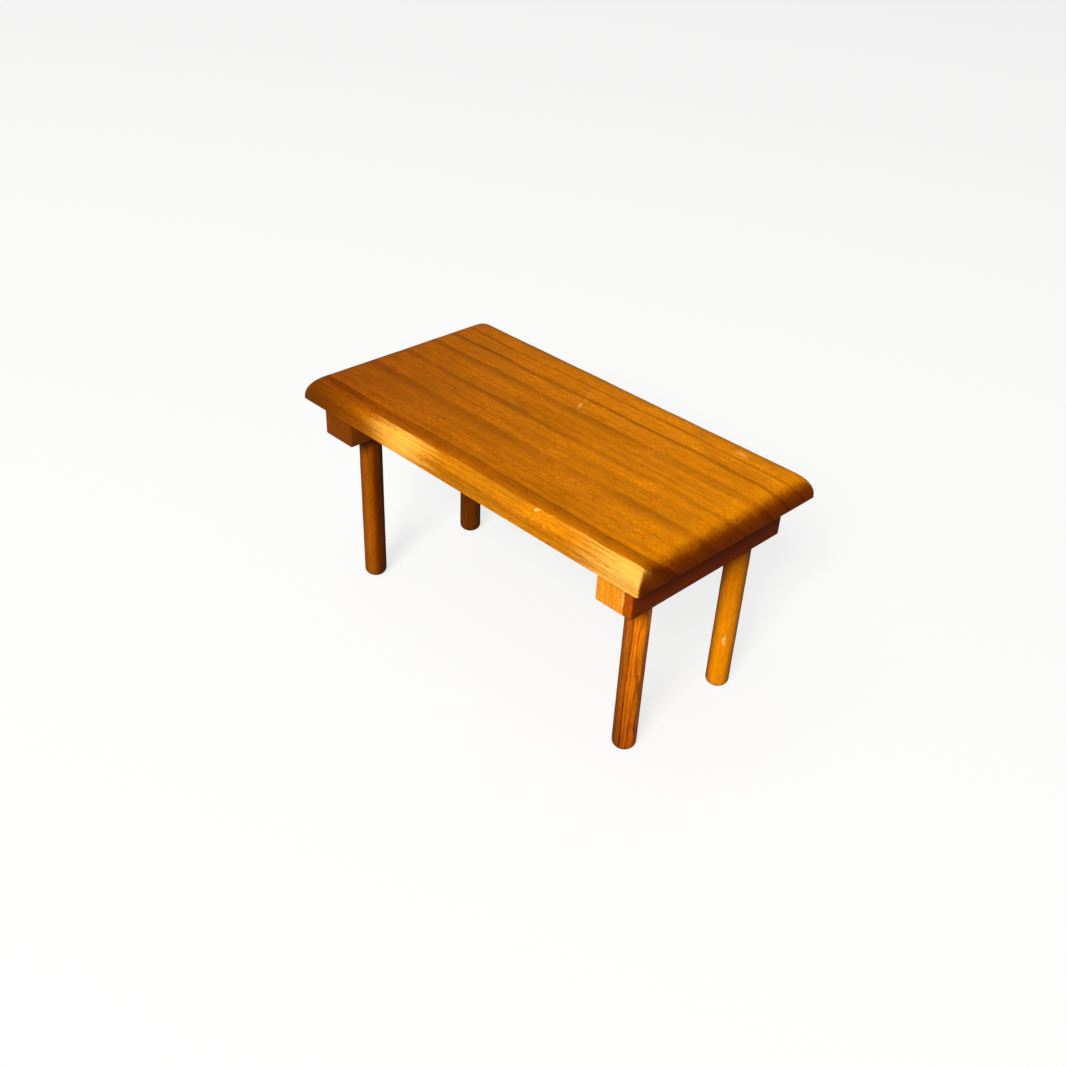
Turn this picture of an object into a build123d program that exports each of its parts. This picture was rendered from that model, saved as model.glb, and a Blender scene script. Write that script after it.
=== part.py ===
from build123d import *
import os

# Doll's house dining table in varnished pine, millimetres.
# Frame: X along the table's length, Y across it, +Z up. The origin is on the floor,
# under the middle of the top. Nothing moves: the dowel legs are glued into bores in
# two cross battens, and panel pins driven up through the battens hold the top.

# ---- driving dimensions ----
TOP_LENGTH = 228.0
TOP_WIDTH = 123.0
TOP_THICKNESS = 13.0
TABLE_HEIGHT = 122.0
EDGE_ROUND = 12.0             # quarter round along all four upper edges
CORNER_ROUND = 4.0            # mitres and upright corners, sanded soft
UNDERSIDE_ARRIS = 0.4

BATTEN_WIDTH = 21.0
BATTEN_HEIGHT = 19.0
BATTEN_END_OVERHANG = 8.0     # end of the top past the batten's outer face
BATTEN_FRONT_INSET = 7.0      # front edge of the top to the batten's front end
BATTEN_BACK_INSET = 12.5      # the battens sit a little towards the front
BATTEN_ARRIS = 0.8            # sanded edges

LEG_DIAMETER = 12.0
LEG_BORE = 12.1               # glue fit in the batten
LEG_EDGE_INSET = 26.2         # long edge of the top to the leg's axis
LEG_END_INSET = 19.4          # end of the top to the leg's axis, drilled a little off centre
FOOT_ROUND = 3.5

PIN_DIAMETER = 1.25
PIN_LENGTH = 25.0
PIN_HEAD_DIAMETER = 2.2
PIN_HEAD_THICKNESS = 0.8
PIN_TIP_LENGTH = 2.0
PIN_TIP_DIAMETER = 0.2
PIN_CLEARANCE = 0.05          # all round the pin in its hole
PIN_Y = 16.0                  # pins lie either side of the table's middle

# ---- derived dimensions ----
UNDERSIDE = TABLE_HEIGHT - TOP_THICKNESS
BATTEN_BOTTOM = UNDERSIDE - BATTEN_HEIGHT
BATTEN_LENGTH = TOP_WIDTH - BATTEN_FRONT_INSET - BATTEN_BACK_INSET
BATTEN_X = TOP_LENGTH / 2 - BATTEN_END_OVERHANG - BATTEN_WIDTH / 2
BATTEN_Y = (BATTEN_FRONT_INSET - BATTEN_BACK_INSET) / 2
LEG_X = TOP_LENGTH / 2 - LEG_END_INSET
LEG_Y = TOP_WIDTH / 2 - LEG_EDGE_INSET

ENDS = {"left": -1, "right": 1}
LEG_ROWS = {"front": -LEG_Y, "back": LEG_Y}
PIN_ROWS = {"front": -PIN_Y, "back": PIN_Y}


def upright(diameter, x, y, z_low, z_high):
    """A round bar standing between two heights."""
    height = z_high - z_low
    return Pos(x, y, z_low + height / 2) * Cylinder(diameter / 2, height)


def panel_pin(x, y, clearance=0.0):
    """A pin driven up from the batten's underside, or its hole when given a clearance."""
    grow = 2 * clearance
    head_top = BATTEN_BOTTOM + PIN_HEAD_THICKNESS + clearance
    shank_top = BATTEN_BOTTOM + PIN_LENGTH - PIN_TIP_LENGTH
    head = upright(PIN_HEAD_DIAMETER + grow, x, y, BATTEN_BOTTOM, head_top)
    shank = upright(PIN_DIAMETER + grow, x, y, BATTEN_BOTTOM, shank_top)
    tip_length = PIN_TIP_LENGTH + clearance
    tip_radii = (PIN_DIAMETER + grow) / 2, (PIN_TIP_DIAMETER + grow) / 2
    tip = Pos(x, y, shank_top + tip_length / 2) * Cone(*tip_radii, tip_length)
    return head + shank + tip


def pin_places():
    """Every pin's node name and place."""
    return [
        (f"{end}_batten_{row}_pin", side * BATTEN_X, y)
        for end, side in ENDS.items()
        for row, y in PIN_ROWS.items()
    ]


def table_top():
    """The board: a quarter round on four edges, softened mitres, and the pins' blind holes."""
    board = Pos(0, 0, UNDERSIDE + TOP_THICKNESS / 2) * Box(TOP_LENGTH, TOP_WIDTH, TOP_THICKNESS)
    board = fillet(board.edges().group_by(Axis.Z)[-1], EDGE_ROUND)
    mitres = board.edges().filter_by(GeomType.ELLIPSE)
    corners = board.edges().filter_by(Axis.Z)
    board = fillet(mitres + corners, CORNER_ROUND)
    board = fillet(board.edges().group_by(Axis.Z)[0], UNDERSIDE_ARRIS)
    for _, x, y in pin_places():
        board -= panel_pin(x, y, PIN_CLEARANCE)
    return board


def batten(side):
    """A square cross bar under one end, bored through for its two legs and two pins."""
    middle = Pos(side * BATTEN_X, BATTEN_Y, BATTEN_BOTTOM + BATTEN_HEIGHT / 2)
    bar = middle * Box(BATTEN_WIDTH, BATTEN_LENGTH, BATTEN_HEIGHT)
    lower = bar.edges().group_by(Axis.Z)[0]
    corners = bar.edges().filter_by(Axis.Z)
    bar = fillet(lower + corners, BATTEN_ARRIS)
    for y in LEG_ROWS.values():
        bar -= upright(LEG_BORE, side * LEG_X, y, BATTEN_BOTTOM, UNDERSIDE)
    for y in PIN_ROWS.values():
        bar -= panel_pin(side * BATTEN_X, y, PIN_CLEARANCE)
    return bar


def leg(x, y):
    """A dowel from the floor to the underside of the top, its foot sanded round."""
    dowel = upright(LEG_DIAMETER, x, y, 0, UNDERSIDE)
    return fillet(dowel.edges().group_by(Axis.Z)[0], FOOT_ROUND)


def write(shape, node):
    export_step(shape, f"parts/{node}.step")


os.makedirs("parts", exist_ok=True)
write(table_top(), "table_top")
for end, side in ENDS.items():
    write(batten(side), f"{end}_batten")
    for row, y in LEG_ROWS.items():
        write(leg(side * LEG_X, y), f"{row}_{end}_leg")
for node, x, y in pin_places():
    write(panel_pin(x, y), node)
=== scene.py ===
# %% [markdown]
# A doll's house dining table in amber-varnished pine, dressed in Blender around its CAD frame.
# The real one is a hand-sanded board nailed to two square battens, with a dowel leg glued
# into each end of each batten. The frame gives every place and size. This script makes the
# surfaces and finishes that a plain solid lacks: worn edges, grain that runs through the
# wood from face to end, and chipped varnish. Some of its colour is painted shade, painted
# shadow and painted glints.

import functools
import math

import bmesh
import bpy
from mathutils import Euler, Matrix, Vector, noise


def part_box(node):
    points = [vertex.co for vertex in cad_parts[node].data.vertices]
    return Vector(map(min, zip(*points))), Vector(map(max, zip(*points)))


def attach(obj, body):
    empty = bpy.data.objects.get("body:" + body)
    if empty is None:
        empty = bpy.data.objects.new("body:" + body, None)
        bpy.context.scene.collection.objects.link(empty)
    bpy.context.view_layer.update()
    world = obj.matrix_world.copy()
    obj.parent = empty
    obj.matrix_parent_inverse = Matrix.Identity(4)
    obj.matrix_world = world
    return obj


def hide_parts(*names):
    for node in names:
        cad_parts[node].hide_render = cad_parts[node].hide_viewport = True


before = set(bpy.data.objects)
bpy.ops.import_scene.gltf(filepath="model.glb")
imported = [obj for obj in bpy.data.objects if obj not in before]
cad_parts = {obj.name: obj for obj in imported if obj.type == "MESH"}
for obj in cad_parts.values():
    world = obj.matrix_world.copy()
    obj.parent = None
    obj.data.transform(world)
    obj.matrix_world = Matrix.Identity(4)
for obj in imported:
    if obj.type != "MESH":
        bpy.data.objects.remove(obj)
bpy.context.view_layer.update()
MM = 0.001

# %% [markdown]
# The camera stands to the right of the front, above the table, and is tilted a few degrees
# the way a hand-held camera is. Its place is given outright, and its direction by two
# angles and a roll, so that each can be changed on its own.

# %% Camera
CAMERA_PLACE = Vector((0.3600, -0.3748, 0.3972))
CAMERA_AZIMUTH = math.radians(42.5)
CAMERA_ELEVATION = math.radians(36.64)
CAMERA_ROLL = math.radians(3.96)

ahead = Vector((
    -math.sin(CAMERA_AZIMUTH) * math.cos(CAMERA_ELEVATION),
    math.cos(CAMERA_AZIMUTH) * math.cos(CAMERA_ELEVATION),
    -math.sin(CAMERA_ELEVATION),
))
camera_data = bpy.data.cameras.new("table_camera")
camera_data.lens = 41.04
camera_data.sensor_width = 36.0
camera_data.shift_x = -0.0272
camera_data.shift_y = 0.0716
camera = bpy.data.objects.new("table_camera", camera_data)
level = ahead.to_track_quat("-Z", "Y").to_matrix().to_4x4()
camera.matrix_world = Matrix.Translation(CAMERA_PLACE) @ level @ Matrix.Rotation(CAMERA_ROLL, 4, "Z")
bpy.context.collection.objects.link(camera)
bpy.context.scene.camera = camera
print("camera", [round(v, 3) for v in camera.location])

# %% [markdown]
# The light is one big soft window at the front, a little to the right and about 36 degrees
# up, low enough to reach the legs under the board, with a weak fill from above. Both stand
# metres away, so that the floor is lit evenly. The standard view transform keeps the strong
# orange of the varnish, which a filmic one would wash out.

# %% Studio light
TABLE_MIDDLE = Vector((0.0, 0.0, 0.08))


def softbox(name, direction, distance, size, watts, tint):
    """A square area light that faces the table from one direction. Lengths are in metres."""
    data = bpy.data.lights.new(name, "AREA")
    data.size = size
    data.energy = watts
    data.color = tint
    lamp = bpy.data.objects.new(name, data)
    lamp.location = TABLE_MIDDLE + Vector(direction).normalized() * distance
    lamp.rotation_euler = (-Vector(direction)).to_track_quat("-Z", "Y").to_euler()
    bpy.context.collection.objects.link(lamp)
    print("light", name, watts, "W at", distance, "m")


softbox("window", direction=(0.34, -0.73, 0.59), distance=5.0, size=1.7, watts=345.0,
        tint=(1.0, 0.98, 0.94))
softbox("ceiling", direction=(-0.1, -0.3, 1.0), distance=3.0, size=2.0, watts=20.0,
        tint=(1.0, 1.0, 1.0))
bpy.context.scene.view_settings.view_transform = "Standard"

# %% [markdown]
# Every finish is built from nodes. One helper adds a node: its options are keywords, and its
# inputs are a dictionary in which a socket is linked and anything else is set as a value.
# Colours are written as sRGB hex, as read off a swatch, and one function makes them linear.


# %% Node and colour helpers
def add(tree, kind, inputs, out=0, **options):
    """Adds a shader node, sets its options, fills its inputs and returns one of its outputs."""
    made = tree.nodes.new("ShaderNode" + kind)
    for option, value in options.items():
        setattr(made, option, value)
    for socket, value in inputs.items():
        if isinstance(value, bpy.types.NodeSocket):
            tree.links.new(value, made.inputs[socket])
        else:
            made.inputs[socket].default_value = value
    return made.outputs[out] if made.outputs else made


def linear(hex_colour):
    """An sRGB hex colour as linear RGBA."""
    channels = [int(hex_colour[i:i + 2], 16) / 255 for i in (1, 3, 5)]
    return [c / 12.92 if c <= 0.04045 else ((c + 0.055) / 1.055) ** 2.4 for c in channels] + [1.0]


def blank_material(name):
    """A material with no nodes yet, and the helper that adds nodes to it."""
    material = bpy.data.materials.new(name)
    material.use_nodes = True
    material.node_tree.nodes.clear()
    return material, functools.partial(add, material.node_tree)


print("middle grey, #808080, is", round(linear("#808080")[0], 3), "when linear")

# %% [markdown]
# The floor is a light table, as shops use for small goods: a pale sheet that glows a little,
# so that shadows on it stay faint. The camera sees that glow and the table doesn't. To the
# table the floor is a duller sheet, which keeps the shaded side of the wood deep.

# %% Floor and background
FLOOR_HALF_WIDTH = 6.0
FLOOR_GLOW = 0.76
ROOM_GLOW = 0.15
floor_mesh = bmesh.new()
bmesh.ops.create_grid(floor_mesh, x_segments=1, y_segments=1, size=FLOOR_HALF_WIDTH)
floor = bpy.data.objects.new("floor", bpy.data.meshes.new("floor"))
floor_mesh.to_mesh(floor.data)
floor_mesh.free()
bpy.context.collection.objects.link(floor)
light_table, node = blank_material("pale_light_table")
glow = node("Emission", {"Color": linear("#FFFFFF"), "Strength": FLOOR_GLOW})
sheet = node("BsdfDiffuse", {"Color": linear("#7C7C7C")})
dull = node("BsdfDiffuse", {"Color": linear("#6E6C68")})
both = node("AddShader", {0: glow, 1: sheet})
seen = node("LightPath", {}, out="Is Camera Ray")
node("OutputMaterial", {"Surface": node("MixShader", {0: seen, 1: dull, 2: both})})
floor.data.materials.append(light_table)

world = bpy.data.worlds.new("pale_surround")
world.use_nodes = True
world.node_tree.nodes.clear()
bpy.context.scene.world = world
node = functools.partial(add, world.node_tree)
backdrop = node("Background", {"Color": linear("#FAFAFA"), "Strength": 1.0})
fill = node("Background", {"Color": linear("#F4F6FA"), "Strength": ROOM_GLOW})
seen = node("LightPath", {}, out="Is Camera Ray")
node("OutputWorld", {"Surface": node("MixShader", {0: seen, 1: fill, 2: backdrop})})
print("floor", 2 * FLOOR_HALF_WIDTH, "m wide")

# %% [markdown]
# Pine grain is solid: the growth rings are nested tubes round the tree's pith, and each face
# of a piece is a cut through them. So the pattern is worked out in log space, in millimetres,
# with the grain along its X axis and the pith as that axis. The same sums then give long
# stripes on the faces, slanted lines on the ends and bands round the worn edge, all joined up.

# %% Log space
ALONG = {
    "X": Euler((0.0, 0.0, 0.0)),
    "Y": Euler((0.0, 0.0, -math.pi / 2)),
    "Z": Euler((0.0, math.pi / 2, 0.0)),
}
AXIS = {"X": (1.0, 0.0, 0.0), "Y": (0.0, 1.0, 0.0), "Z": (0.0, 0.0, 1.0)}
PIECE_APART = 37.0  # millimetres along the log from one piece to the next, so that no two match


def log_space(node, place, grain, pith, seed):
    """The place in millimetres from a point of the pith, turned so that the grain runs along X."""
    start = -(ALONG[grain].to_matrix() @ Vector(pith))
    start.x = seed * PIECE_APART
    return node("Mapping", {"Vector": place, "Location": start, "Rotation": ALONG[grain],
                            "Scale": (1 / MM, 1 / MM, 1 / MM)}, vector_type="POINT")


def from_pith(grain, pith, point):
    """How far a point in millimetres is from the pith."""
    away = ALONG[grain].to_matrix() @ (Vector(point) - Vector(pith))
    return math.hypot(away.y, away.z)


print("log space, with pieces", PIECE_APART, "mm apart in it")

# %% [markdown]
# Wood up close is a stack of streaky patterns, each one noise stretched along the grain. Real
# pine fibres are about 0.04 mm wide, far too fine to show here, so threads and streaks are
# drawn as bundles of them, a little under a millimetre wide, which is as fine as shows.

# %% Streaky patterns
PATTERNS = {  # millimetres along the grain, millimetres across it, detail, roughness
    "streak": (55.0, 1.1, 4.0, 0.68),
    "thread": (10.0, 0.55, 3.0, 0.65),
    "fleck": (2.4, 0.75, 1.0, 0.5),
    "canal": (6.0, 0.5, 0.0, 0.5),
    "patch": (38.0, 15.0, 2.0, 0.55),
    "fade": (85.0, 20.0, 1.0, 0.5),
    "blotch": (4.0, 3.0, 2.0, 0.55),
    "skin": (2.4, 1.7, 2.0, 0.5),
    "grit": (1.5, 0.6, 2.0, 0.6),
}


def streaky_patterns(node, log):
    """Each pattern as smooth noise between about 0.25 and 0.75."""
    made = {}
    for name, (along, across, detail, rough) in PATTERNS.items():
        stretched = node("VectorMath", {0: log, 1: (1 / along, 1 / across, 1 / across)}, operation="MULTIPLY")
        made[name] = node("TexNoise", {"Vector": stretched, "Scale": 1.0, "Detail": detail,
                                       "Roughness": rough})
    return made


print(len(PATTERNS), "patterns, the finest", min(size[1] for size in PATTERNS.values()), "mm across")

# %% [markdown]
# Everything about a growth ring follows from its distance to the pith. A log is never quite
# even, so the place is moved a little before that distance is measured: by a slow wander
# along the log's length, and by a fine jitter. Moving the place bends all the rings together.

# %% Distance from the pith
WANDER = (150.0, 45.0, 0.9)  # millimetres along the grain, across it, and moved
JITTER = (26.0, 4.0, 0.5)


def uneven_radius(node, log):
    """How many millimetres a point is from the pith, in a log that is not quite even."""
    # noise strays about a quarter from its middle, so four times the amount moves by the amount
    moved = log
    for along, across, amount in (WANDER, JITTER):
        stretched = node("VectorMath", {0: log, 1: (1 / along, 1 / across, 1 / across)}, operation="MULTIPLY")
        cloud = node("TexNoise", {"Vector": stretched, "Scale": 1.0, "Detail": 2.0}, out="Color")
        middled = node("VectorMath", {0: cloud, 1: (0.5, 0.5, 0.5)}, operation="SUBTRACT")
        moved = node("VectorMath", {0: middled, 1: (0.0, 4 * amount, 4 * amount), 2: moved},
                     operation="MULTIPLY_ADD")
    flat = node("VectorMath", {0: moved, 1: (0.0, 1.0, 1.0)}, operation="MULTIPLY")
    return node("VectorMath", {0: flat}, out="Value", operation="LENGTH")


print("rings wander by", WANDER[2], "mm and jitter by", JITTER[2], "mm")

# %% [markdown]
# A ring is one year. It darkens slowly from spring wood to summer wood, then stops sharply at
# the winter. Good years and lean ones come in runs, which changes the spacing slowly, and each
# year gets a strength of its own from a random number, so that no two rings match.

# %% Yearly rings
YEARS_IN_RUNS = (0.43, 1.6)  # how soon the ring spacing changes, and by how many rings
SUMMER_WOOD = (0.20, 0.86)  # the part of a ring over which it darkens
WINTER_STOP = (0.88, 1.00)  # the part of a ring over which it turns pale again


def yearly_rings(node, radius, ring, contrast):
    """How far into summer wood a point is, from 0 to 1, going by its year."""
    year = node("Math", {0: radius, 1: ring}, operation="DIVIDE")
    soon, rings = YEARS_IN_RUNS
    uneven = node("TexNoise", {"W": node("Math", {0: year, 1: soon}, operation="MULTIPLY"), "Scale": 1.0},
                  noise_dimensions="1D")
    year = node("Math", {0: uneven, 1: rings, 2: year}, operation="MULTIPLY_ADD")
    part = node("Math", {0: year}, operation="FRACT")
    rise = node("MapRange", {"Value": part, 1: SUMMER_WOOD[0], 2: SUMMER_WOOD[1]},
                interpolation_type="SMOOTHSTEP")
    stop = node("MapRange", {"Value": part, 1: WINTER_STOP[0], 2: WINTER_STOP[1], 3: 1.0, 4: 0.0},
                interpolation_type="SMOOTHSTEP")
    growth = node("TexWhiteNoise", {"W": node("Math", {0: year}, operation="FLOOR")}, noise_dimensions="1D")
    strength = node("MapRange", {"Value": growth, 3: 0.25 * contrast, 4: contrast})
    return node("Math", {0: node("Math", {0: rise, 1: stop}, operation="MULTIPLY"), 1: strength},
                operation="MULTIPLY")


print("a ring darkens over the part", SUMMER_WOOD, "and turns pale over", WINTER_STOP)

# %% [markdown]
# Some winters leave a much stronger line. Those are given one by one, by their distance from
# the pith. A strong line darkens over its own width, stops sharply and fades a little here and
# there. Where it is darker than the yearly rings it takes their place.

# %% Strong lines
LINE_STOP = 0.4  # how far a strong line takes to stop, as a part of its width
LINE_FADE = 0.70  # how strong it still is where it fades most


def strong_lines(node, radius, fading, summer, lines):
    """The yearly rings with strong lines added, each one a distance, a width and a strength."""
    fade = node("MapRange", {"Value": fading, 1: 0.38, 2: 0.62, 3: LINE_FADE, 4: 1.0})
    for where, width, strength in lines:
        beyond = node("Math", {0: radius, 1: where}, operation="SUBTRACT")
        rise = node("MapRange", {"Value": beyond, 1: -width, 2: 0.0, 3: 0.0, 4: strength},
                    interpolation_type="SMOOTHSTEP")
        stop = node("MapRange", {"Value": beyond, 1: 0.0, 2: LINE_STOP * width, 3: 1.0, 4: 0.0},
                    interpolation_type="SMOOTHSTEP")
        line = node("Math", {0: node("Math", {0: rise, 1: stop}, operation="MULTIPLY"), 1: fade},
                    operation="MULTIPLY")
        summer = node("Math", {0: summer, 1: line}, operation="MAXIMUM")
    return summer


print("a strong line stops over", LINE_STOP, "of its width and fades to", LINE_FADE)

# %% [markdown]
# The wood is Scots pine under amber spirit varnish, rubbed by years of play. Its colour is
# put together in steps, each one a short function. The first gives the tones of spring and
# summer wood, both darker towards one end or corner: on the board and the upper part of the
# back right leg that is painted shade, and the front right leg darkens towards its foot.
# Multiplying a tone keeps its hue richer than mixing it with black would.

# %% Tones darkened one way
def tones_darkened_one_way(node, place, tones, darkened_one_way):
    """The tones of spring and summer wood, browner the further a point lies one way.

    Browning is given as the way, where along it the wood is clear and where it is brown, and
    the brown that a tone is multiplied by.
    """
    early, late = (linear(tone) for tone in tones)
    if darkened_one_way is None:
        return early, late
    way, clear_from, brown_by, brown = darkened_one_way
    reached = node("VectorMath", {0: place, 1: way}, out="Value", operation="DOT_PRODUCT")
    amount = node("MapRange", {"Value": reached, 1: clear_from * MM, 2: brown_by * MM})
    return [node("Mix", {0: amount, 6: tone, 7: [c * b for c, b in zip(tone, (*brown, 1.0))]},
                 out=2, data_type="RGBA") for tone in (early, late)]


# %% [markdown]
# Where a piece was cut through a ring of another kind of wood, the band inside that ring
# changes tone, here and there or all the way. Each stretch is centred on one place along the
# grain. Its limits are pushed about by the streaks, so they look combed and not blurred.

# %% Band of another tone
BAND_EDGE = 0.15  # millimetres over which the band starts
COMBED = 1.6  # how far the streaks push the limits of a stretch, as a part of its reach


def banded(node, wood, radius, along, streak, band, stretches):
    """The wood with its band: each stretch is a middle, a reach, a tone and a strength."""
    inside = node("MapRange", {"Value": radius, 1: band - BAND_EDGE, 2: band + BAND_EDGE, 3: 1.0, 4: 0.0})
    for middle, reach, tone, strength in stretches:
        off = node("Math", {0: along, 1: middle}, operation="SUBTRACT")
        off = node("Math", {0: off}, operation="ABSOLUTE")
        off = node("Math", {0: streak, 1: -COMBED * reach, 2: off}, operation="MULTIPLY_ADD")
        here = node("MapRange", {"Value": off, 1: -COMBED / 2 * reach, 2: 0.1 * reach, 3: strength, 4: 0.0},
                    interpolation_type="SMOOTHSTEP")
        here = node("Math", {0: here, 1: inside}, operation="MULTIPLY")
        wood = node("Mix", {0: here, 6: wood, 7: linear(tone)}, out=2, data_type="RGBA")
    return wood


# %% [markdown]
# Fibres, patches and grit shade the wood by a few tenths either way, and resin canals are
# fine dark dashes in it. Small pale flecks that lie in patches are painted glints on the
# varnish. Shading is kept as one number, so that it can scale any tone below it.

# %% Fibres and flecks
FIBRE_SHADES = (("streak", 0.60), ("thread", 0.80))  # a pattern, and how much it shades the wood
PATCH_SHADES = (("patch", 0.40), ("blotch", 0.30), ("grit", 0.45))
RESIN_SHADE = -0.25
# how much the pale flecks lighten the wood, as painted glints
FLECK_SHADE = 0.38


def fibre_shade(node, pattern, fibre):
    """How light a point is, around 1. Fibre says how strong this piece's fibres are."""
    shade = 1.0
    for name, amount in [(name, amount * fibre) for name, amount in FIBRE_SHADES] + list(PATCH_SHADES):
        middled = node("Math", {0: pattern[name], 1: 0.5}, operation="SUBTRACT")
        shade = node("Math", {0: middled, 1: amount, 2: shade}, operation="MULTIPLY_ADD")
    resin = node("MapRange", {"Value": pattern["canal"], 1: 0.68, 2: 0.76}, interpolation_type="SMOOTHSTEP")
    return node("Math", {0: resin, 1: RESIN_SHADE, 2: shade}, operation="MULTIPLY_ADD")


def glint_fleck_mask(node, pattern):
    """Where pale flecks paint glints on the varnish, from 0 to 1."""
    fleck = node("MapRange", {"Value": pattern["fleck"], 1: 0.57, 2: 0.67}, interpolation_type="SMOOTHSTEP")
    patch = node("MapRange", {"Value": pattern["patch"], 1: 0.50, 2: 0.64}, interpolation_type="SMOOTHSTEP")
    return node("Math", {0: fleck, 1: patch}, operation="MULTIPLY")


print("resin canals darken the wood by", -RESIN_SHADE, "and torn flecks lighten it by up to", FLECK_SHADE)

# %% [markdown]
# End grain drinks the varnish and turns dark. The angle between the surface and the grain
# tells end from side, so the change comes by itself wherever an edge turns over. A little
# noise is added to the angle first, which makes the limit on a rounding uneven.

# %% End grain
SIDE_UNTIL = 0.76  # how much a surface faces along the grain, with the noise, where a side ends
END_FROM = 1.20  # and where it is end grain only


def end_grain(node, grain, pattern):
    """How much a point is end grain, from 0 to 1."""
    normal = node("TexCoord", {}, out="Normal")
    facing = node("VectorMath", {0: normal, 1: AXIS[grain]}, out="Value", operation="DOT_PRODUCT")
    facing = node("Math", {0: facing}, operation="ABSOLUTE")
    facing = node("Math", {0: pattern["blotch"], 1: 0.25, 2: facing}, operation="MULTIPLY_ADD")
    facing = node("Math", {0: pattern["grit"], 1: 0.30, 2: facing}, operation="MULTIPLY_ADD")
    return node("MapRange", {"Value": facing, 1: SIDE_UNTIL, 2: END_FROM}, interpolation_type="SMOOTHSTEP")


print("end grain starts at", SIDE_UNTIL, "and is full at", END_FROM)

# %% [markdown]
# Chips and scratches show pale bare wood. Each one is an ellipsoid round a point of the
# surface, long and thin for a scratch. The same pale spots also paint one glint, on the back
# right leg. The place is jittered before it is measured, which makes the edges ragged, and the
# threads of the grain leave some varnish inside.

# %% Chips, scratches and a painted glint
BARE_WOOD_AND_GLINT = linear("#F4CC7C")
RAGGED = 1.6 * MM
LEFT_IN_GRAIN = 0.25  # how bare a chip is in the threads that kept their varnish


def chips_and_glint_mask(node, place, thread, chips_and_glints):
    """Where the varnish is gone, and where a glint is painted as bare wood. Each spot is a middle, its half
    sizes, a turn and a strength.
    """
    cloud = node("TexNoise", {"Vector": place, "Scale": 0.9 / MM, "Detail": 2.0}, out="Color")
    cloud = node("VectorMath", {0: cloud, 1: (0.5, 0.5, 0.5)}, operation="SUBTRACT")
    ragged = node("VectorMath", {0: cloud, 1: (RAGGED, RAGGED, RAGGED), 2: place}, operation="MULTIPLY_ADD")
    gone = 0.0
    for middle, size, turn, strength in chips_and_glints:
        local = node("Mapping", {"Vector": ragged, "Location": Vector(middle) * MM,
                                 "Rotation": (0.0, 0.0, turn), "Scale": Vector(size) * MM},
                     vector_type="TEXTURE")
        away = node("VectorMath", {0: local}, out="Value", operation="LENGTH")
        spot = node("MapRange", {"Value": away, 1: 0.55, 2: 1.0, 3: strength, 4: 0.0},
                    interpolation_type="SMOOTHSTEP")
        gone = node("Math", {0: spot, 1: gone}, operation="MAXIMUM")
    broken = node("MapRange", {"Value": thread, 1: 0.42, 2: 0.58, 3: LEFT_IN_GRAIN, 4: 1.0})
    return node("Math", {0: gone, 1: broken}, operation="MULTIPLY")


print("chips are ragged by", round(RAGGED / MM, 2), "mm")

# %% [markdown]
# Under a fingertip the summer wood stands a little proud, fibres are open, the painted glint
# flecks are raised, and chips and the painted glint spot are hollow. The varnish lies over
# this and softens it, with a faint skin of its own like orange peel. So wood and coat each
# get a bump, made from the same heights.

# %% Relief
WOOD_RELIEF = 0.08 * MM
SKIN_RELIEF = 0.06 * MM


def varnished_relief(node, pattern, summer, glinting, bare_and_glint):
    """The bump of the wood, and the softer bump of the varnish on it. Heights are parts of the relief."""
    height = node("Math", {0: pattern["streak"], 1: 0.6, 2: summer}, operation="MULTIPLY_ADD")
    for part, amount in ((pattern["thread"], 0.9), (glinting, 0.8), (bare_and_glint, -1.0)):
        height = node("Math", {0: part, 1: amount, 2: height}, operation="MULTIPLY_ADD")
    relief = node("Bump", {"Height": height, "Strength": 0.6, "Distance": WOOD_RELIEF})
    peel = node("Math", {0: pattern["skin"], 1: 1.0, 2: height}, operation="MULTIPLY_ADD")
    skin = node("Bump", {"Height": peel, "Strength": 0.4, "Distance": SKIN_RELIEF})
    return relief, skin


print("relief of the wood", round(WOOD_RELIEF / MM, 2), "mm, of the skin", round(SKIN_RELIEF / MM, 2), "mm")
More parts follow.
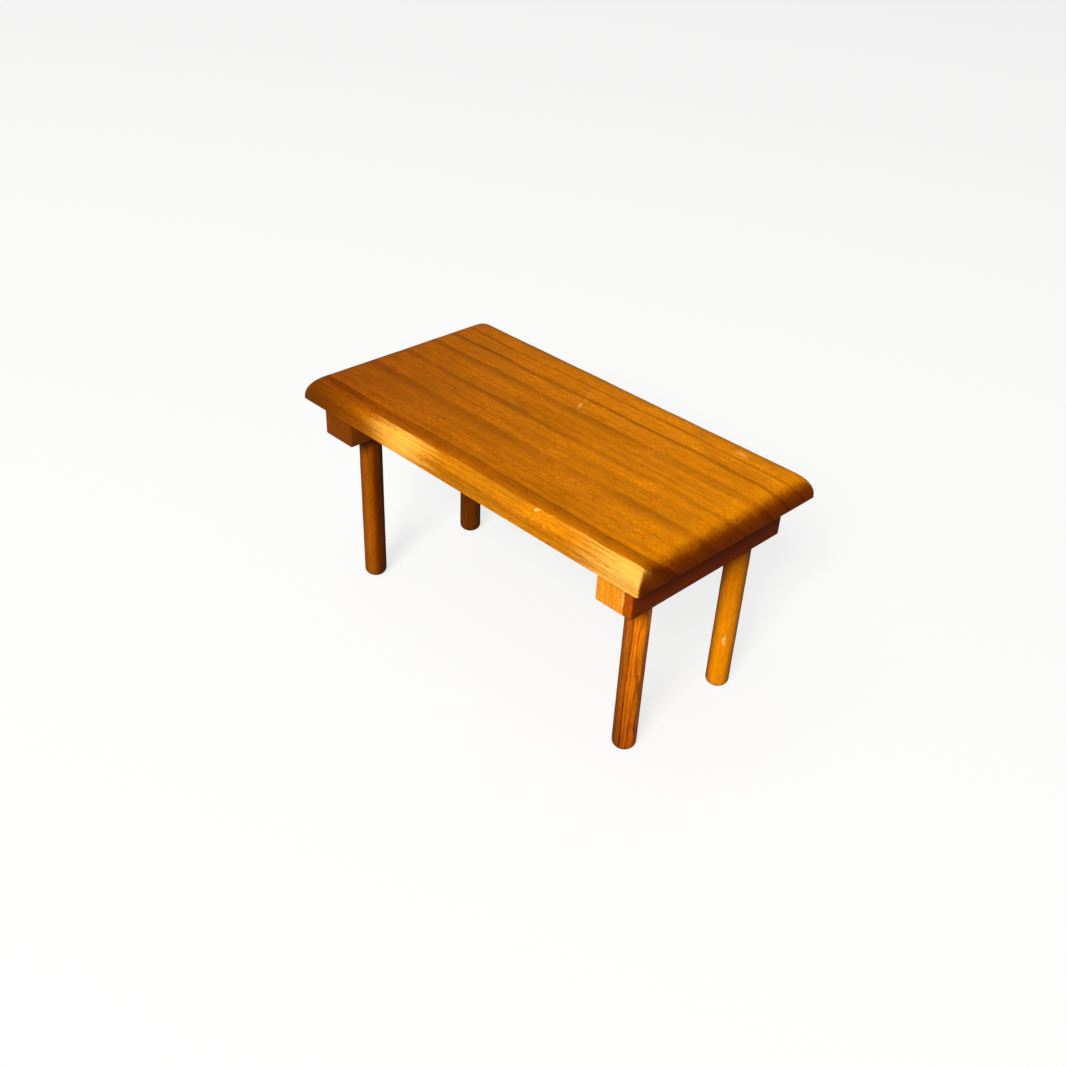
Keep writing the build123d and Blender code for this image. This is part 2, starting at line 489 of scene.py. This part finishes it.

# %% [markdown]
# Now the finish itself. The rings choose between the two tones, the band and the fibres
# shade the faces, pale flecks paint glints on them, the end grain soaks, and the chips and a
# painted glint go on last. The gloss is low and warm, because old spirit varnish is dull. The
# legs get a thin clear coat, polished by hands.

# %% Varnished pine
def varnished_pine(name, grain, pith, ring, tones, seed, contrast=0.4, lines=(), band=None, stretches=(),
                   band_through=False, soak=(0.6, 0.4, 0.3), darkened_one_way=None, chips_and_glints=(), fibre=1.0, flecks=1.0,
                   roughness=0.42, gloss=0.08, coat=0.0):
    """Pine under amber varnish. Places and sizes are in millimetres, in the table's frame."""
    material, node = blank_material(name)
    place = node("TexCoord", {}, out="Object")
    log = log_space(node, place, grain, pith, seed)
    pattern = streaky_patterns(node, log)
    radius = uneven_radius(node, log)
    summer = yearly_rings(node, radius, ring, contrast)
    summer = strong_lines(node, radius, pattern["fade"], summer, lines)
    early, late = tones_darkened_one_way(node, place, tones, darkened_one_way)
    wood = node("Mix", {0: summer, 6: early, 7: late}, out=2, data_type="RGBA")
    face = wood
    if band is not None:
        along = node("Math", {0: node("SeparateXYZ", {0: place}, out=grain), 1: 1 / MM}, operation="MULTIPLY")
        face = banded(node, wood, radius, along, pattern["streak"], band, stretches)

    # the end is soaked, and keeps the band only where the band goes right through the piece
    shade = fibre_shade(node, pattern, fibre)
    # the pale flecks are painted glints on the varnish
    glinting = glint_fleck_mask(node, pattern)
    soaked = node("VectorMath", {0: face if band_through else wood, 1: soak}, operation="MULTIPLY")
    soaked = node("VectorMath", {0: soaked, 3: shade}, operation="SCALE")
    paler = node("Math", {0: glinting, 1: FLECK_SHADE * flecks, 2: shade}, operation="MULTIPLY_ADD")
    face = node("VectorMath", {0: face, 3: paler}, operation="SCALE")
    wood = node("Mix", {0: end_grain(node, grain, pattern), 6: face, 7: soaked}, out=2, data_type="RGBA")
    # chips show bare wood, and one such spot on the back right leg is a painted glint
    bare_and_glint = chips_and_glint_mask(node, place, pattern["thread"], chips_and_glints)
    wood = node("Mix", {0: bare_and_glint, 6: wood, 7: BARE_WOOD_AND_GLINT}, out=2, data_type="RGBA")

    relief, skin = varnished_relief(node, pattern, summer, glinting, bare_and_glint)
    shader = node("BsdfPrincipled", {
        "Base Color": wood, "Roughness": roughness, "IOR": 1.45, "Specular IOR Level": gloss,
        "Specular Tint": linear("#FFD9A0"), "Coat Weight": coat, "Coat Roughness": 0.25, "Coat IOR": 1.45,
        "Normal": relief, "Coat Normal": skin})
    node("OutputMaterial", {"Surface": shader})
    print("finish", name, "rings", ring, "mm apart,", len(lines), "strong lines,", len(chips_and_glints), "chips_and_glints")
    return material


# %% [markdown]
# Each piece starts as a bmesh and ends the same way: smooth faces, with the edges that turn
# sharply marked sharp, in an object at the origin that rides on the table and stands for its
# CAD node. Sanding by hand leaves soft hollows, so a second helper presses the surface in,
# only ever inwards, by smooth noise. Flat faces that meet another piece are left alone.

# %% Shared mesh helpers
SHARP = math.radians(35)
ON_FLAT = 0.01 * MM


def finished(name, bm, material, cad_node):
    """Turns a bmesh into an object that stands for a CAD node and rides on the table."""
    for face in bm.faces:
        face.smooth = True
    for edge in bm.edges:
        edge.smooth = edge.is_manifold and edge.calc_face_angle() < SHARP
    mesh = bpy.data.meshes.new(name)
    bm.to_mesh(mesh)
    bm.free()
    mesh.materials.append(material)
    piece = bpy.data.objects.new(name, mesh)
    bpy.context.collection.objects.link(piece)
    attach(piece, "root")
    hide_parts(cad_node)
    print("piece", name, len(mesh.polygons), "faces")


def wear(bm, depth, hollow, flats):
    """Presses the surface in by up to depth, in hollows of about one size, but not on the flats."""
    bm.normal_update()
    for vert in bm.verts:
        if min(abs(vert.co.z - flat) for flat in flats) > ON_FLAT:
            push = 0.5 + 0.5 * noise.noise(vert.co / hollow)
            vert.co -= vert.normal * depth * max(0.0, min(1.0, push))


print("edges that turn more than", round(math.degrees(SHARP)), "degrees are sharp")

# %% [markdown]
# The top is one board with a big rounding round its upper edge and sharp lower arrises. It
# could be a cube with a bevel, but the rounding has almost the board's own thickness, and its
# corners widen as they rise. So the outline of the underside is raised step by step instead:
# each step is one extrusion whose corners are set anew, which leaves clean rings of faces.

# %% Table top shape
top_low, top_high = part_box("table_top")
EDGE_ROUND = 12.0 * MM
UNDER_ARRIS = 0.4 * MM
CORNER_LOW = 1.8 * MM
CORNER_HIGH = 8.0 * MM
CORNER_STEPS = 8
ROUND_STEPS = 16
SIDE_CUTS = 63
LONG_SIDE = 10 * MM  # longer than any edge of a corner
FLAT_MARGIN = 1.0 * MM  # from the end of the rounding to the ring of edges on the flat


class Outline:
    """A rectangle with rounded corners at one height."""

    def __init__(self, inset, corner, height):
        self.core = Vector((top_high.x - inset - corner, top_high.y - inset - corner))
        self.corner = corner
        self.height = height


def edge_outlines():
    """The board's outlines from its underside, up round the edge, to the flat."""
    outlines = [Outline(UNDER_ARRIS, CORNER_LOW, top_low.z),
                Outline(0.0, CORNER_LOW, top_low.z + UNDER_ARRIS)]
    for step in range(ROUND_STEPS + 1):
        turn = math.pi / 2 * step / ROUND_STEPS
        inset = EDGE_ROUND * (1 - math.cos(turn))
        corner = CORNER_LOW + (CORNER_HIGH - CORNER_LOW) * (step / ROUND_STEPS) ** 2
        outlines.append(Outline(inset, corner, top_high.z - EDGE_ROUND * (1 - math.sin(turn))))
    outlines.append(Outline(EDGE_ROUND + FLAT_MARGIN, CORNER_HIGH, top_high.z))
    return outlines


def move_to(verts, old, new):
    """Moves an outline's points onto the next outline, keeping each one's direction."""
    for vert in verts:
        nearest = Vector((max(-old.core.x, min(old.core.x, vert.co.x)),
                          max(-old.core.y, min(old.core.y, vert.co.y))))
        out = (vert.co.xy - nearest) / old.corner
        place = Vector((nearest.x * new.core.x / old.core.x, nearest.y * new.core.y / old.core.y))
        place += out * new.corner
        vert.co = (place.x, place.y, new.height)


def sanded_board():
    """The underside's outline, raised step by step round the edge, then worn."""
    bm = bmesh.new()
    outlines = edge_outlines()
    first = outlines[0]
    size = Vector((first.core.x + first.corner, first.core.y + first.corner, 1.0))
    bmesh.ops.create_grid(bm, x_segments=1, y_segments=1, size=1.0, matrix=Matrix.Diagonal(size).to_4x4())
    bmesh.ops.bevel(bm, geom=bm.verts[:], affect="VERTICES", offset=first.corner, segments=CORNER_STEPS,
                    profile=0.5, material=-1)
    sides = [edge for edge in bm.edges if edge.calc_length() > LONG_SIDE]
    bmesh.ops.subdivide_edges(bm, edges=sides, cuts=SIDE_CUTS)
    bmesh.ops.translate(bm, verts=bm.verts, vec=(0.0, 0.0, first.height))

    # the first lid stays as the underside, and each later one goes as the next is raised from it
    underside = lid = bm.faces[:]
    for old, new in zip(outlines, outlines[1:]):
        raised = bmesh.ops.extrude_face_region(bm, geom=lid)["geom"]
        if lid != underside:
            bmesh.ops.delete(bm, geom=lid, context="FACES_ONLY")
        lid = [item for item in raised if isinstance(item, bmesh.types.BMFace)]
        move_to([item for item in raised if isinstance(item, bmesh.types.BMVert)], old, new)
    bmesh.ops.recalc_face_normals(bm, faces=bm.faces)
    wear(bm, depth=0.22 * MM, hollow=13 * MM, flats=(top_low.z, top_low.z + UNDER_ARRIS, top_high.z))
    return bm


print("the board's edge is raised through", len(edge_outlines()), "outlines")

# %% [markdown]
# The board was sawn with its rings slanting at about 45 degrees, so the pith lies far off to
# the front and below. Where each strong winter line crosses the flat is measured from the
# board's middle, and the pith turns that into a ring. One more line comes out lower down, on
# the front edge, and inside another ring, along the front rounding, the wood is paler.

# %% Rings of the board
BOARD_PITH = (0.0, -300.0, -182.0)
BOARD_TOP = top_high.z / MM
WINTER_LINES = (  # where it crosses the flat from the middle line, its width, its strength
    (43.0, 2.0, 0.55),
    (31.4, 3.4, 0.70),
    (17.4, 6.0, 0.50),
    (-3.0, 4.0, 0.48),
    (-14.6, 3.0, 0.25),
    (-24.5, 9.0, 0.45),
    (-37.0, 4.0, 0.20),
    (-51.4, 1.8, 1.00),
    (-53.2, 9.5, 0.80),
)
SLANT = 0.7  # a ring crosses the flat aslant, which makes it look wider than it is
EDGE_LINE = (0.0, -60.5, 114.7)
PALE_EDGE = (0.0, -56.0, 120.1)
board_lines = [(from_pith("X", BOARD_PITH, (0.0, across, BOARD_TOP)), width * SLANT, strength)
               for across, width, strength in WINTER_LINES]
board_lines.append((from_pith("X", BOARD_PITH, EDGE_LINE), 5.0, 0.5))
print("winter lines", [round(where, 1) for where, width, strength in board_lines], "mm from the pith")

# %% [markdown]
# The pale band is not even: it is brightest left of the middle and at the right end, and dark
# at the left end, where a dark stretch is painted shadow. The board's left end is darkened
# too, most of all in front, and that is painted shadow as well. The chips are few: a long
# scratch and a rub on the flat, one at the back, one on the front edge.

# %% Table top finish
BOARD_STRETCHES = (  # the middle along the board, the reach, the tone, its strength
    (20.0, 150.0, "#E09A1C", 0.20),
    (-39.0, 31.0, "#F2AC40", 0.80),
    (106.0, 42.0, "#F0B650", 0.74),
    # the stretch at the left end is painted shadow, not a tone of the wood
    (-106.0, 60.0, "#5E2E00", 0.80),
)
# painted shadow: the board's tones darken towards its front left corner
BOARD_PAINTED_SHADOW = ((1.0, 0.8, 0.0), 85.0, -140.0, (0.52, 0.38, 0.27))
BOARD_CHIPS = (  # the middle, half sizes, the turn, how bare
    ((-6.0, 33.0, 122.0), (8.0, 0.8, 1.0), math.radians(-63), 0.14),
    ((-2.0, 23.0, 122.0), (4.2, 1.2, 1.0), math.radians(-63), 0.40),
    ((80.0, 47.0, 122.0), (5.0, 1.6, 1.0), 0.0, 0.35),
    ((50.0, -56.8, 119.5), (1.7, 0.9, 1.2), 0.3, 0.85),
)
board_pine = varnished_pine(
    "amber_pine_board", "X", BOARD_PITH, 3.7, ("#CD7802", "#7A3A02"), 1, contrast=0.20,
    lines=board_lines, band=from_pith("X", BOARD_PITH, PALE_EDGE), stretches=BOARD_STRETCHES,
    soak=(0.28, 0.15, 0.09), darkened_one_way=BOARD_PAINTED_SHADOW, chips_and_glints=BOARD_CHIPS)
finished("table_top_board", sanded_board(), board_pine, "table_top")

# %% [markdown]
# A batten is a square bar with two bores for the legs and two pockets for the heads of its
# pins. Boolean cuts would do, but leave long thin faces. Here the flat shape is drawn first,
# as an outline with circles in it, filled between, and raised to the batten's thickness. The
# outline is cut into short steps, so that the filled faces stay compact, and the lower and
# upright arrises are bevelled.

# %% Batten shape
LEG_BORE = 12.1 * MM
PIN_POCKET = 2.3 * MM
BATTEN_ARRIS = 0.8 * MM
SIDE_STEP = 4 * MM
NEAR = 0.001 * MM


def bored_batten(cad_node):
    """A bar with through bores, drawn flat, filled and raised."""
    low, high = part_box(cad_node)
    end = cad_node.split("_")[0]
    bm = bmesh.new()
    corners = [bm.verts.new((x, y, low.z)) for x, y in
               ((low.x, low.y), (high.x, low.y), (high.x, high.y), (low.x, high.y))]
    outline = [bm.edges.new(pair) for pair in zip(corners, corners[1:] + corners[:1])]
    for pair in (outline[0::2], outline[1::2]):
        bmesh.ops.subdivide_edges(bm, edges=pair, cuts=round(pair[0].calc_length() / SIDE_STEP) - 1)
    for row in ("front", "back"):
        for fitted, diameter, sides in ((f"{row}_{end}_leg", LEG_BORE, 64),
                                        (f"{end}_batten_{row}_pin", PIN_POCKET, 24)):
            fitted_low, fitted_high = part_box(fitted)
            middle = (fitted_low + fitted_high) / 2
            bmesh.ops.create_circle(bm, cap_ends=False, segments=sides, radius=diameter / 2,
                                    matrix=Matrix.Translation((middle.x, middle.y, low.z)))
    bmesh.ops.triangle_fill(bm, edges=bm.edges[:], use_beauty=True)
    raised = bmesh.ops.extrude_face_region(bm, geom=bm.faces[:])["geom"]
    bmesh.ops.translate(bm, verts=[item for item in raised if isinstance(item, bmesh.types.BMVert)],
                        vec=(0.0, 0.0, high.z - low.z))
    bmesh.ops.recalc_face_normals(bm, faces=bm.faces)

    def outside(edge):
        """Whether an edge is an upright corner, or runs round the outside of the underside."""
        on_end = all(min(abs(v.co.y - low.y), abs(v.co.y - high.y)) < NEAR for v in edge.verts)
        on_side = all(min(abs(v.co.x - low.x), abs(v.co.x - high.x)) < NEAR for v in edge.verts)
        lower = all(abs(v.co.z - low.z) < NEAR for v in edge.verts)
        return (lower and (on_end or on_side)) or (on_end and on_side)

    bmesh.ops.bevel(bm, geom=[edge for edge in bm.edges if outside(edge)], affect="EDGES",
                    offset=BATTEN_ARRIS, segments=4, profile=0.5, material=-1)
    return bm


print("batten bores", round(LEG_BORE / MM, 1), "mm, pin pockets", round(PIN_POCKET / MM, 1), "mm")

# %% [markdown]
# The battens show their rings on the end as upright stripes about 2 mm apart, so their pith
# lies off to the side. The right one is split: a redder band of heartwood at its outer side,
# with a torn bright line where it starts. End grain here took less stain than the faces did.

# %% Battens
RIGHT_PITH = (150.0, 0.0, 99.0)
HEART_BAND = 5.2  # millimetres of heartwood at its outer side
right_low, right_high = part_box("right_batten")
split = (right_high.x / MM - HEART_BAND, right_low.y / MM, RIGHT_PITH[2])
heartwood = {
    "band": from_pith("Y", RIGHT_PITH, split),
    "stretches": ((0.0, 900.0, "#782600", 0.95),),  # one, which reaches far past both ends
    "band_through": True,
    "chips_and_glints": ((split, (0.7, 1.6, 6.5), 0.0, 0.9),),
}
BATTEN_LOOKS = {  # the pith, the tones, how the end grain differs from the faces, what else shows
    # the left batten's darker tones are painted shade
    "left_batten": ((-30.0, 0.0, 96.0), ("#844204", "#5C2400"), (1.0, 1.0, 1.0), {}),
    "right_batten": (RIGHT_PITH, ("#B46406", "#7A3000"), (2.0, 2.5, 9.0), heartwood),
}
for seed, (cad_node, (pith, tones, soak, others)) in enumerate(BATTEN_LOOKS.items(), start=4):
    batten_pine = varnished_pine(f"amber_pine_{cad_node}", "Y", pith, 1.9, tones, seed, contrast=0.6,
                                 soak=soak, flecks=0.3, **others)
    finished(f"{cad_node}_bar", bored_batten(cad_node), batten_pine, cad_node)

# %% [markdown]
# A leg is a length of 12 mm dowel with its foot rounded over by hand. A profile of radius and
# height is spun round the upright axis, which is how a lathe would make it. The profile is cut
# into short steps so that the dowel's slight unevenness is in the mesh and not painted on.


# %% Leg shape
ARC_STEPS = 8
SHAFT_STEPS = 36


def turned(profile, middle, sides):
    """Spins a profile of (radius, height) points round an upright axis."""
    bm = bmesh.new()
    verts = [bm.verts.new((middle.x + radius, middle.y, height)) for radius, height in profile]
    edges = [bm.edges.new(pair) for pair in zip(verts, verts[1:])]
    bmesh.ops.spin(bm, geom=verts + edges, cent=(middle.x, middle.y, 0.0), axis=(0.0, 0.0, 1.0),
                   dvec=(0.0, 0.0, 0.0), angle=2 * math.pi, steps=sides, use_merge=True)
    bmesh.ops.remove_doubles(bm, verts=bm.verts, dist=NEAR)
    bmesh.ops.recalc_face_normals(bm, faces=bm.faces)
    return bm


def dowel_profile(radius, low, high, foot_round):
    """From the middle of the foot, out round its edge, up the shaft and in again."""
    arc = [(radius - foot_round + foot_round * math.sin(turn), low + foot_round * (1 - math.cos(turn)))
           for turn in (math.pi / 2 * step / ARC_STEPS for step in range(ARC_STEPS + 1))]
    shaft = [(radius, low + foot_round + (high - low - foot_round) * step / SHAFT_STEPS)
             for step in range(1, SHAFT_STEPS + 1)]
    return [(0.0, low)] + arc + shaft + [(0.0, high)]


print("a leg's profile has", ARC_STEPS, "steps round the foot and", SHAFT_STEPS, "up the shaft")

# %% [markdown]
# The four dowels come from different sticks. The front right one is coarse, with strong red
# summer wood; the back right one is smooth amber, with a painted glint drawn as a pale spot
# of bare wood; the left two are darker, in painted shade. Each has its own pith, given from
# the leg's middle, and its own ring spacing.

# %% Legs
UPRIGHT = (0.0, 0.0, 1.0)
COARSE_LINES = (  # the distance from the pith, the width, the strength
    (15.5, 11.0, 0.78),
    (17.7, 3.5, 0.72),
    (16.2, 0.8, 1.0),
    (18.5, 0.3, 0.9),
    (19.2, 0.25, 0.8),
    (20.0, 0.25, 0.8),
)
# the last column darkens the tones one way: painted shade on the back right leg, and towards the foot on the
# front right leg
LEG_LOOKS = {  # the pith, ring spacing, contrast, tones, fibre, strong lines, where it browns
    "front_right_leg": ((-14.0, 4.0), 0.95, 1.0, ("#F08008", "#4A1400"), 1.6, COARSE_LINES,
                        (UPRIGHT, 78.0, 5.0, (0.54, 0.42, 0.28))),
    # back right leg: its strong line darkens the leg along both edges, and its tones darken towards the top,
    # under the board; both are painted shade
    "back_right_leg": ((30.0, -40.0), 2.6, 0.15, ("#E28600", "#7A3000"), 0.9, ((51.0, 7.5, 1.0),),
                       (UPRIGHT, 45.0, 90.0, (0.55, 0.42, 0.3))),
    # front left leg: its strong line is painted shadow down one side; both left legs' darker tones are
    # painted shade
    "front_left_leg": ((22.0, 20.0), 1.8, 0.5, ("#9A4E00", "#501A00"), 1.0, ((26.5, 12.0, 0.9),), None),
    "back_left_leg": ((24.0, 26.0), 2.2, 0.6, ("#6C3200", "#4A1C00"), 1.0, (), None),
}
FOOT_ROUND = {"front_right_leg": 3.6, "back_right_leg": 3.4, "front_left_leg": 3.8, "back_left_leg": 3.5}
# a painted glint on the back right leg, drawn as a pale spot of bare wood
LEG_GLINT = (3.6, -4.8, 31.0)  # millimetres from the middle of the back right leg's foot
for seed, (cad_node, look) in enumerate(LEG_LOOKS.items(), start=7):
    off, ring, contrast, tones, fibre, lines, darkened_one_way = look
    low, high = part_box(cad_node)
    middle = (low + high) / 2
    radius = (high.x - low.x) / 2
    pith = (middle.x / MM + off[0], middle.y / MM + off[1], 0.0)
    chips_and_glints = ()
    if cad_node == "back_right_leg":
        glint_middle = (middle.x / MM + LEG_GLINT[0], middle.y / MM + LEG_GLINT[1], LEG_GLINT[2])
        chips_and_glints = ((glint_middle, (1.3, 1.3, 3.8), 0.0, 1.0),)
    leg_pine = varnished_pine(f"amber_pine_{cad_node}", "Z", pith, ring, tones, seed, contrast=contrast,
                              lines=lines, darkened_one_way=darkened_one_way, chips_and_glints=chips_and_glints, fibre=fibre, flecks=0.4,
                              roughness=0.36, gloss=0.12, coat=0.12)
    profile = dowel_profile(radius, low.z, high.z, FOOT_ROUND[cad_node] * MM)
    shape = turned(profile, middle, sides=72)
    wear(shape, depth=0.14 * MM, hollow=8 * MM, flats=(low.z, high.z))
    finished(f"{cad_node}_dowel", shape, leg_pine, cad_node)

# %% [markdown]
# Two panel pins hold each batten to the board, driven from below until the head is level with
# the wood. They are turned like the legs, from a profile with a domed head, a plain shank and
# a point. The steel is drawn wire: a metal with fine scratches along it and dull spots of rust.

# %% Pins
PIN_SHANK = 0.625 * MM
PIN_HEAD_THICKNESS = 0.8 * MM
PIN_CROWN = 0.04 * MM  # how far the middle of the head stands out
PIN_RIM = 0.25 * MM  # and how far its rounding reaches down
PIN_POINT = 2.0 * MM
PIN_TIP = 0.1 * MM


def drawn_steel():
    """Plain steel wire, grey and slightly dull, with a few brown spots."""
    material, node = blank_material("drawn_steel_wire")
    place = node("TexCoord", {}, out="Object")
    spots = node("TexNoise", {"Vector": place, "Scale": 1.4 / MM, "Detail": 3.0})
    rust = node("MapRange", {"Value": spots, 1: 0.55, 2: 0.68}, interpolation_type="SMOOTHSTEP")
    colour = node("Mix", {0: rust, 6: linear("#9A9690"), 7: linear("#6A4426")}, out=2, data_type="RGBA")
    drawn = node("Mapping", {"Vector": place, "Scale": (6.0 / MM, 6.0 / MM, 0.3 / MM)})
    scratches = node("TexNoise", {"Vector": drawn, "Scale": 1.0, "Detail": 2.0})
    bump = node("Bump", {"Height": scratches, "Strength": 0.5, "Distance": 0.02 * MM})
    dull = node("MapRange", {"Value": spots, 1: 0.3, 2: 0.7, 3: 0.28, 4: 0.6})
    shader = node("BsdfPrincipled", {"Base Color": colour, "Metallic": 1.0, "Roughness": dull,
                                     "Normal": bump})
    node("OutputMaterial", {"Surface": shader})
    return material


steel = drawn_steel()
for end in ("left", "right"):
    for row in ("front", "back"):
        cad_node = f"{end}_batten_{row}_pin"
        low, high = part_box(cad_node)
        head = (high.x - low.x) / 2
        profile = [(0.0, low.z), (0.75 * head, low.z + PIN_CROWN), (head, low.z + PIN_RIM),
                   (head, low.z + PIN_HEAD_THICKNESS), (PIN_SHANK, low.z + PIN_HEAD_THICKNESS),
                   (PIN_SHANK, high.z - PIN_POINT), (PIN_TIP, high.z), (0.0, high.z)]
        pin = turned(profile, (low + high) / 2, sides=24)
        finished(f"{cad_node}_wire", pin, steel, cad_node)
